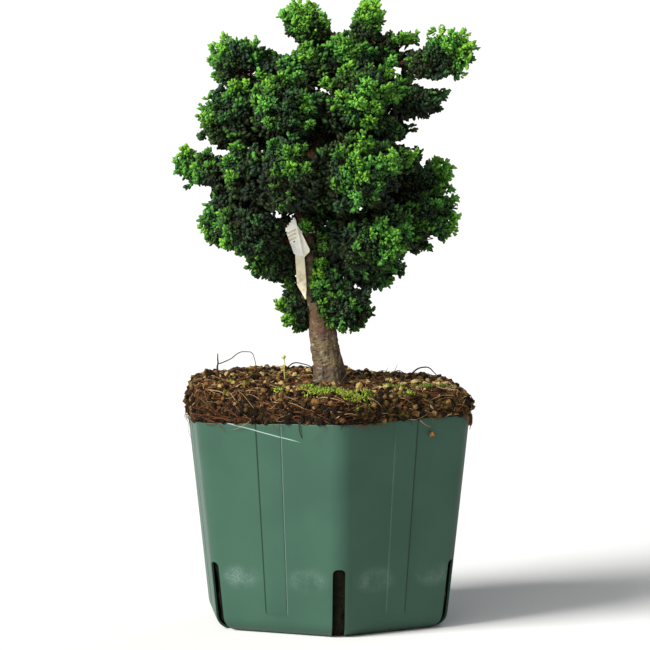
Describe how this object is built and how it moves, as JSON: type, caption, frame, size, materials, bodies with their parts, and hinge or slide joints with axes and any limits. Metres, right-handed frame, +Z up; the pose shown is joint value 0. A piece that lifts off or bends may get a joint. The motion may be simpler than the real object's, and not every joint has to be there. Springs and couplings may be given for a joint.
{
  "type": "potted hinoki cypress",
  "caption": "Young dwarf conifer with dense bunched foliage, rooted in a soil ball that fills a tapered hexagonal slit pot, with a plastic strap tag on its trunk.",
  "frame": {"origin": "centre of the flat underside of the pot, which stands on the ground", "axes": "+Z up along the pot's axis; the side shown best faces -Y; +X to the right seen from there"},
  "size_m": [0.1973, 0.1965, 0.3995],
  "materials": {
    "pot_plastic": "satin green",
    "soil": "rough, fibrous",
    "bark": "matt, ridged",
    "foliage": "soft matt green",
    "label_plastic": "satin cream"
  },
  "bodies": {
    "root": {"back_low_left": "foliage", "back_low_right": "foliage", "back_middle": "foliage", "back_middle_left": "foliage", "back_middle_right": "foliage", "back_upper_left": "foliage", "back_upper_right": "foliage", "bottom_left": "foliage", "bottom_right": "foliage", "bough_back_middle": "bark", "bough_back_middle_left": "bark", "bough_back_middle_right": "bark", "bough_back_upper_right": "bark", "bough_far_right": "bark", "bough_front_left": "bark", "bough_front_low_left": "bark", "bough_front_low_right": "bark", "bough_front_middle_left": "bark", "bough_front_middle_right": "bark", "bough_front_right": "bark", "bough_front_upper_right": "bark", "bough_left_low": "bark", "bough_left_shoulder": "bark", "bough_left_top": "bark", "bough_right_low": "bark", "bough_right_low_top": "bark", "bough_right_shoulder": "bark", "far_right": "foliage", "front_left": "foliage", "front_low_left": "foliage", "front_low_right": "foliage", "front_middle_left": "foliage", "front_middle_right": "foliage", "front_right": "foliage", "front_upper_left": "foliage", "front_upper_right": "foliage", "label": "label_plastic", "left_low": "foliage", "left_lower": "foliage", "left_shoulder": "foliage", "left_skirt": "foliage", "left_top": "foliage", "left_top_inner": "foliage", "low_inner": "foliage", "pot": "pot_plastic", "right_low": "foliage", "right_low_top": "foliage", "right_lower": "foliage", "right_shoulder": "foliage", "right_spike": "foliage", "soil": "soil", "top_back": "foliage", "top_front": "foliage", "top_left": "foliage", "top_middle": "foliage", "top_right": "foliage", "trunk": "bark"}
  },
  "joints": []
}
